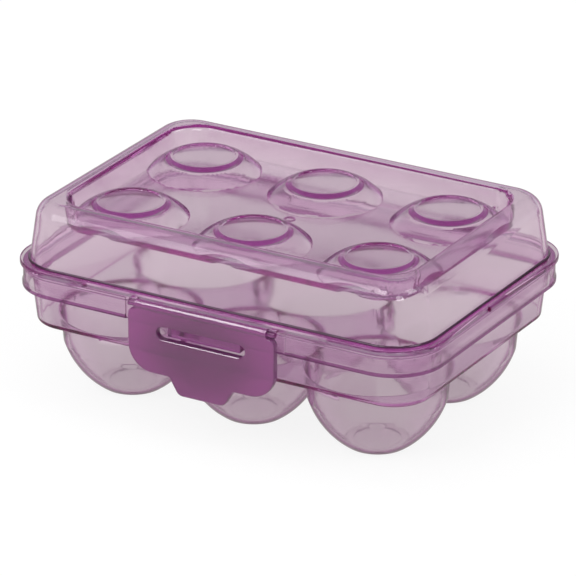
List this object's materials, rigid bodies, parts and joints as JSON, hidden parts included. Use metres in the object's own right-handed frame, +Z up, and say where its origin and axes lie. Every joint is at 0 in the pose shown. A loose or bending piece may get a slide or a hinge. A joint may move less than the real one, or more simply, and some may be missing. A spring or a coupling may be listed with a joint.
{
  "type": "egg holder",
  "caption": "Clear lilac plastic egg box: tray of round-bottomed egg cups, hinged lid with flat-topped domes in a sunk top panel, and a swinging front clip.",
  "frame": {"origin": "middle of the box on the plane that the six cup feet stand on", "axes": "+X along the three egg columns, to the right seen from the clip side; +Y from the clip to the lid hinge; +Z up"},
  "size_m": [0.1884, 0.1384, 0.0817],
  "materials": {
    "lilac_clear": "clear glossy polystyrene with a light lilac tint",
    "purple_clear": "clear glossy plastic with a deep purple tint"
  },
  "bodies": {
    "base": {"base_tray": "lilac_clear"},
    "lid": {"lid": "lilac_clear"},
    "clip": {"front_clip": "purple_clear"}
  },
  "joints": [
    {"name": "lid_hinge", "type": "hinge", "parent": "base", "child": "lid", "pos_m": [0, 0.0673, 0.0547], "axis": [-1, 0, 0], "range_deg": [0, 120]},
    {"name": "clip_hinge", "type": "hinge", "parent": "lid", "child": "clip", "pos_m": [0, -0.0673, 0.0547], "axis": [-1, 0, 0], "range_deg": [-6, 140]}
  ]
}
